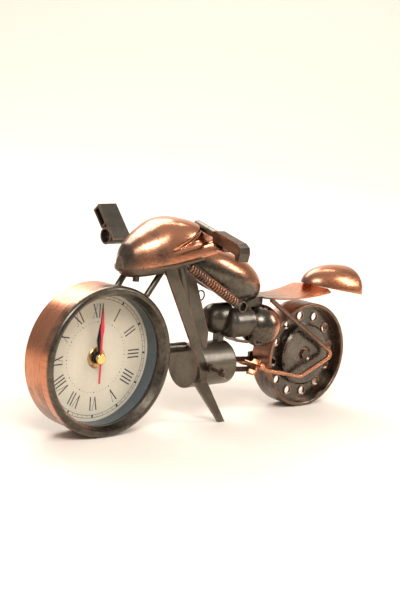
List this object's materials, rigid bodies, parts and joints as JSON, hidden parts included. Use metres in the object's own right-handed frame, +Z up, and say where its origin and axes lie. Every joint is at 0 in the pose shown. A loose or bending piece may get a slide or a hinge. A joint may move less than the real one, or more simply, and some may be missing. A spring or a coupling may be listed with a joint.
{
  "type": "motorcycle desk clock",
  "caption": "Quartz desk clock shaped like a cafe racer motorcycle, with the dial as its front wheel, made of pressed and welded copper-plated sheet metal.",
  "frame": {"origin": "on the floor under the middle of the bounding box", "axes": "+X from the front wheel to the tail, +Y to the bike's right-hand side (the dial faces -Y), +Z up"},
  "size_m": [0.2072, 0.0986, 0.1024],
  "materials": {
    "copper_plate": "antique copper plating on pressed steel, brushed through to dark patina",
    "dark_plate": "dark olive-grey patina over copper plating",
    "dial_enamel": "ivory paper-matt dial with black print",
    "lens_glass": "clear flat mineral glass",
    "case_plastic": "black moulded plastic",
    "brass": "polished brass",
    "black_paint": "satin black",
    "red_paint": "satin red",
    "gear_plastic": "natural moulded plastic",
    "steel": "bright steel",
    "circuit": "green circuit board",
    "coil_wire": "enamelled copper wire"
  },
  "bodies": {
    "root": {"back_cover": "dark_plate", "backbone_strip": "dark_plate", "battery_contacts": "steel", "bezel": "copper_plate", "button_cell": "steel", "canister": "dark_plate", "circuit_board": "circuit", "coil": "coil_wire", "dial_nut": "brass", "dial_plate": "dial_enamel", "down_strip": "dark_plate", "drum_band": "copper_plate", "drum_stud": "dark_plate", "engine_ball": "copper_plate", "engine_brackets": "dark_plate", "engine_dome_front": "dark_plate", "engine_dome_rear": "dark_plate", "fairing_base": "dark_plate", "fairing_shell": "copper_plate", "footpegs": "dark_plate", "fork_legs": "dark_plate", "handlebar_far": "copper_plate", "handlebar_near": "copper_plate", "kickstand": "dark_plate", "lens": "lens_glass", "movement_case_back": "case_plastic", "movement_case_front": "case_plastic", "rear_axle": "dark_plate", "rear_strip": "dark_plate", "rod_fittings": "copper_plate", "seat_sheet": "copper_plate", "shock_tube": "dark_plate", "side_rods": "copper_plate", "spacer_ring": "case_plastic", "spring_guides": "copper_plate", "springs": "copper_plate", "stator": "steel", "stays": "dark_plate", "swingarm": "dark_plate", "tail_dome": "copper_plate", "tank_block": "dark_plate", "tank_shell": "copper_plate"},
    "second_train": {"second_wheel": "gear_plastic", "second_hand": "red_paint", "hand_cap": "brass"},
    "third_train": {"third_wheel": "gear_plastic"},
    "transfer_train": {"transfer_wheel": "gear_plastic"},
    "rotor_train": {"rotor": "gear_plastic"},
    "centre_train": {"centre_wheel": "gear_plastic"},
    "minute_train": {"minute_pipe": "gear_plastic", "minute_hand": "black_paint"},
    "setting_train": {"setting_wheel": "gear_plastic", "set_knob": "case_plastic"},
    "hour_train": {"hour_wheel": "gear_plastic", "hour_hand": "black_paint"},
    "battery_door": {"battery_cap": "case_plastic"},
    "rear_wheel": {"rear_rim": "copper_plate", "rear_web": "dark_plate", "hub_cap": "dark_plate"}
  },
  "joints": [
    {"name": "second_turn", "type": "hinge", "parent": "root", "child": "second_train", "pos_m": [-0.06756, 0, 0.036], "axis": [0, 1, 0], "continuous": true},
    {"name": "third_turn", "type": "hinge", "parent": "root", "child": "third_train", "pos_m": [-0.06456, 0, 0.0412], "axis": [0, 1, 0], "continuous": true},
    {"name": "transfer_turn", "type": "hinge", "parent": "root", "child": "transfer_train", "pos_m": [-0.06516, 0, 0.03184], "axis": [0, 1, 0], "continuous": true},
    {"name": "rotor_turn", "type": "hinge", "parent": "root", "child": "rotor_train", "pos_m": [-0.06152, 0, 0.02974], "axis": [0, 1, 0], "continuous": true},
    {"name": "centre_turn", "type": "hinge", "parent": "root", "child": "centre_train", "pos_m": [-0.06756, 0, 0.036], "axis": [0, 1, 0], "continuous": true},
    {"name": "minute_turn", "type": "hinge", "parent": "root", "child": "minute_train", "pos_m": [-0.06756, 0, 0.036], "axis": [0, 1, 0], "continuous": true},
    {"name": "setting_turn", "type": "hinge", "parent": "root", "child": "setting_train", "pos_m": [-0.07414, 0, 0.03361], "axis": [0, 1, 0], "continuous": true},
    {"name": "hour_turn", "type": "hinge", "parent": "root", "child": "hour_train", "pos_m": [-0.06756, 0, 0.036], "axis": [0, 1, 0], "continuous": true},
    {"name": "battery_door_turn", "type": "hinge", "parent": "root", "child": "battery_door", "pos_m": [-0.05276, 0, 0.0406], "axis": [0, 1, 0], "range_deg": [0, 30]},
    {"name": "rear_wheel_turn", "type": "hinge", "parent": "root", "child": "rear_wheel", "pos_m": [0.06564, 0, 0.02745], "axis": [0, 1, 0], "continuous": true}
  ],
  "couplings": [
    {"joint": "transfer_turn", "follows": "second_turn", "ratio": -5},
    {"joint": "rotor_turn", "follows": "second_turn", "ratio": 30},
    {"joint": "third_turn", "follows": "second_turn", "ratio": -0.13333},
    {"joint": "centre_turn", "follows": "second_turn", "ratio": 0.016667},
    {"joint": "setting_turn", "follows": "minute_turn", "ratio": -0.33333},
    {"joint": "hour_turn", "follows": "minute_turn", "ratio": 0.083333}
  ]
}
